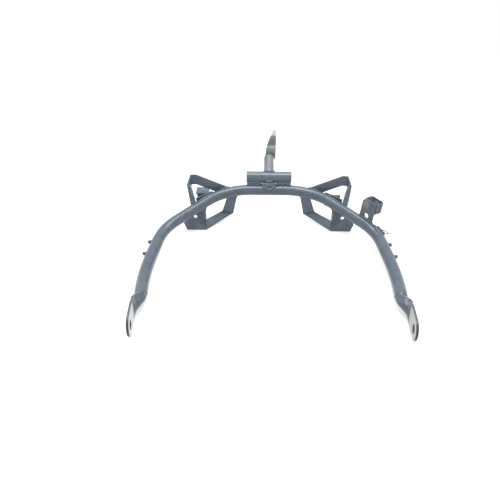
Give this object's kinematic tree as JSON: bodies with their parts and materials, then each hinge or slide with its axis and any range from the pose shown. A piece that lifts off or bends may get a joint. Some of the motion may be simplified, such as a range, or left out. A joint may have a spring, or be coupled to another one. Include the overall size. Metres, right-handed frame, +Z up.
{
  "type": "motorcycle fairing stay",
  "caption": "Welded tube arch that carries a motorcycle's front fairing, with flattened leg ends, a cross sleeve, a headed stem and side brackets.",
  "frame": {"origin": "middle of the bounding box in X and Y, at its bottom, which is what the stay lies on", "axes": "+X to the right side that carries the relay bracket, -Y along the legs to their tabs, +Z up as it lies"},
  "size_m": [0.4006, 0.4364, 0.1462],
  "materials": {
    "tube_paint": "satin",
    "sleeve_paint": "satin",
    "stem_paint": "satin",
    "saddle_paint": "satin",
    "strap_paint": "satin",
    "bracket_paint": "satin",
    "channel_paint": "satin",
    "relay_paint": "satin",
    "clip_wire": "satin"
  },
  "bodies": {
    "root": {"main_tube": "tube_paint", "leg_studs": "tube_paint", "cross_sleeve": "sleeve_paint", "sleeve_seat": "sleeve_paint", "centre_gusset": "sleeve_paint", "stem": "stem_paint", "saddle": "saddle_paint", "left_upper_strap": "strap_paint", "right_upper_strap": "strap_paint", "left_lower_bracket": "bracket_paint", "right_lower_bracket": "bracket_paint", "left_rear_plate": "channel_paint", "right_rear_plate": "channel_paint", "left_rear_channel": "channel_paint", "right_rear_channel": "channel_paint", "relay_plate": "relay_paint", "relay_band": "relay_paint", "clip_base": "relay_paint", "clip_wire": "clip_wire"}
  },
  "joints": []
}
